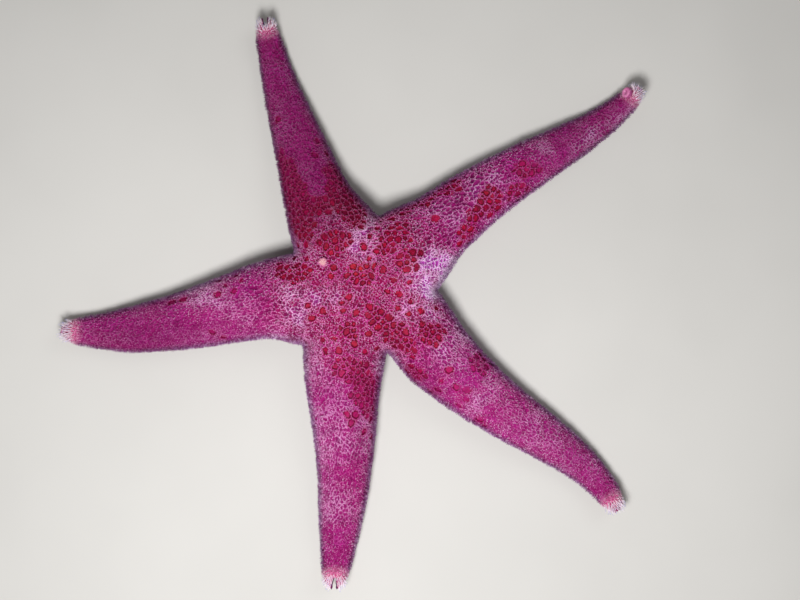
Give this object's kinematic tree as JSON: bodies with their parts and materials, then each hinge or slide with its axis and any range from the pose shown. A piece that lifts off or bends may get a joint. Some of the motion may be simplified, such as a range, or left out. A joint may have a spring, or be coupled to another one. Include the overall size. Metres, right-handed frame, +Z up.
{
  "type": "starfish",
  "caption": "Blood star with a small disc, slender tapering arms turned up at their pale ends, a fine coat of spinelets over a mottled magenta back, and furrows of tube feet beneath.",
  "frame": {"origin": "middle of the whole animal's bounding box, on the floor it lies on", "axes": "+Z up from the floor, away from the mouth side; +Y towards the end of arm 1, and +X towards the ends of arms 2 and 5, as seen from above"},
  "size_m": [0.0976, 0.0954, 0.0117],
  "materials": {
    "skin": "soft wet skin over small plates, magenta with crimson cells and a lilac net of spinelets",
    "arm_end": "pale pink skin with white bristles",
    "tube_feet": "smooth, moist, cream to pale orange",
    "jaws": "pale pink limy plates under thin skin",
    "mouth": "smooth moist membrane",
    "plates": "chalky off-white to pink limy plate"
  },
  "bodies": {
    "root": {"disc": "skin", "arm_1_base": "skin", "arm_1_middle": "skin", "arm_1_outer": "skin", "arm_1_tip": "arm_end", "arm_2_base": "skin", "arm_2_middle": "skin", "arm_2_outer": "skin", "arm_2_tip": "arm_end", "arm_3_base": "skin", "arm_3_middle": "skin", "arm_3_outer": "skin", "arm_3_tip": "arm_end", "arm_4_base": "skin", "arm_4_middle": "skin", "arm_4_outer": "skin", "arm_4_tip": "arm_end", "arm_5_base": "skin", "arm_5_middle": "skin", "arm_5_outer": "skin", "arm_5_tip": "arm_end", "tube_feet_1_inner": "tube_feet", "tube_feet_1_outer": "tube_feet", "tube_feet_2_inner": "tube_feet", "tube_feet_2_outer": "tube_feet", "tube_feet_3_inner": "tube_feet", "tube_feet_3_outer": "tube_feet", "tube_feet_4_inner": "tube_feet", "tube_feet_4_outer": "tube_feet", "tube_feet_5_inner": "tube_feet", "tube_feet_5_outer": "tube_feet", "jaw_1": "jaws", "jaw_2": "jaws", "jaw_3": "jaws", "jaw_4": "jaws", "jaw_5": "jaws", "mouth": "mouth", "sieve_plate": "plates", "end_plate_2": "plates"}
  },
  "joints": []
}
